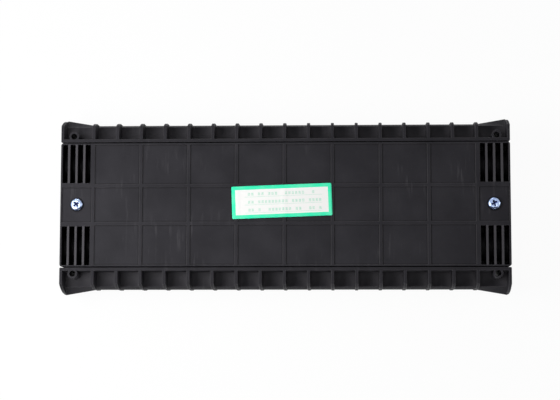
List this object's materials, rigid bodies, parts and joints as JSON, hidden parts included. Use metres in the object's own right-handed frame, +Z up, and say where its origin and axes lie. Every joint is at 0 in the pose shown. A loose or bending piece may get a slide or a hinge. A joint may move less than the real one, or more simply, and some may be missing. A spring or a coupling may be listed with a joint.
{
  "type": "fibre splice closure",
  "caption": "Flat horizontal fibre splice closure: two gridded half shells clamped by ribbed slide-on side rails, with cable ports and splice trays inside.",
  "frame": {"origin": "centre of the underside of the closed closure", "axes": "+X along the length, +Y towards the rear rail, +Z up through the labelled face"},
  "size_m": [0.3616, 0.1428, 0.0524],
  "materials": {
    "shell_plastic": "matte moulded black",
    "rail_plastic": "matte moulded black",
    "seal_rubber": "soft black rubber",
    "zinc_fastener": "bright bluish zinc plate",
    "bracket_steel": "galvanised sheet",
    "anchor_brass": "plain brass",
    "tray_plastic": "matte off-white",
    "clear_plastic": "clear",
    "label_film": "satin film"
  },
  "bodies": {
    "closure": {"upper_shell": "shell_plastic", "lower_shell": "shell_plastic", "rear_seal": "seal_rubber", "front_seal": "seal_rubber", "right_end_seal": "seal_rubber", "left_end_seal": "seal_rubber", "left_front_grommet": "seal_rubber", "left_front_cable_clamp": "bracket_steel", "left_front_strength_anchor": "anchor_brass", "left_rear_grommet": "seal_rubber", "left_rear_cable_clamp": "bracket_steel", "left_rear_strength_anchor": "anchor_brass", "right_front_grommet": "seal_rubber", "right_front_cable_clamp": "bracket_steel", "right_front_strength_anchor": "anchor_brass", "right_rear_grommet": "seal_rubber", "right_rear_cable_clamp": "bracket_steel", "right_rear_strength_anchor": "anchor_brass", "left_clamp_screw": "zinc_fastener", "right_clamp_screw": "zinc_fastener", "clamp_nuts": "zinc_fastener", "bracket_screws": "zinc_fastener", "cable_clamp_screws": "zinc_fastener", "anchor_screws": "zinc_fastener", "tray_screws": "zinc_fastener", "mounting_bracket": "bracket_steel", "lower_tray": "tray_plastic", "upper_tray": "tray_plastic", "lower_splice_holder": "tray_plastic", "upper_splice_holder": "tray_plastic", "tray_cover": "clear_plastic", "label": "label_film"},
    "rear_slider": {"rear_rail": "rail_plastic"},
    "front_slider": {"front_rail": "rail_plastic"}
  },
  "joints": [
    {"name": "rear_rail_slide", "type": "slide", "parent": "closure", "child": "rear_slider", "axis": [1, 0, 0], "range_m": [-0.36, 0.36]},
    {"name": "front_rail_slide", "type": "slide", "parent": "closure", "child": "front_slider", "axis": [1, 0, 0], "range_m": [-0.36, 0.36]}
  ]
}
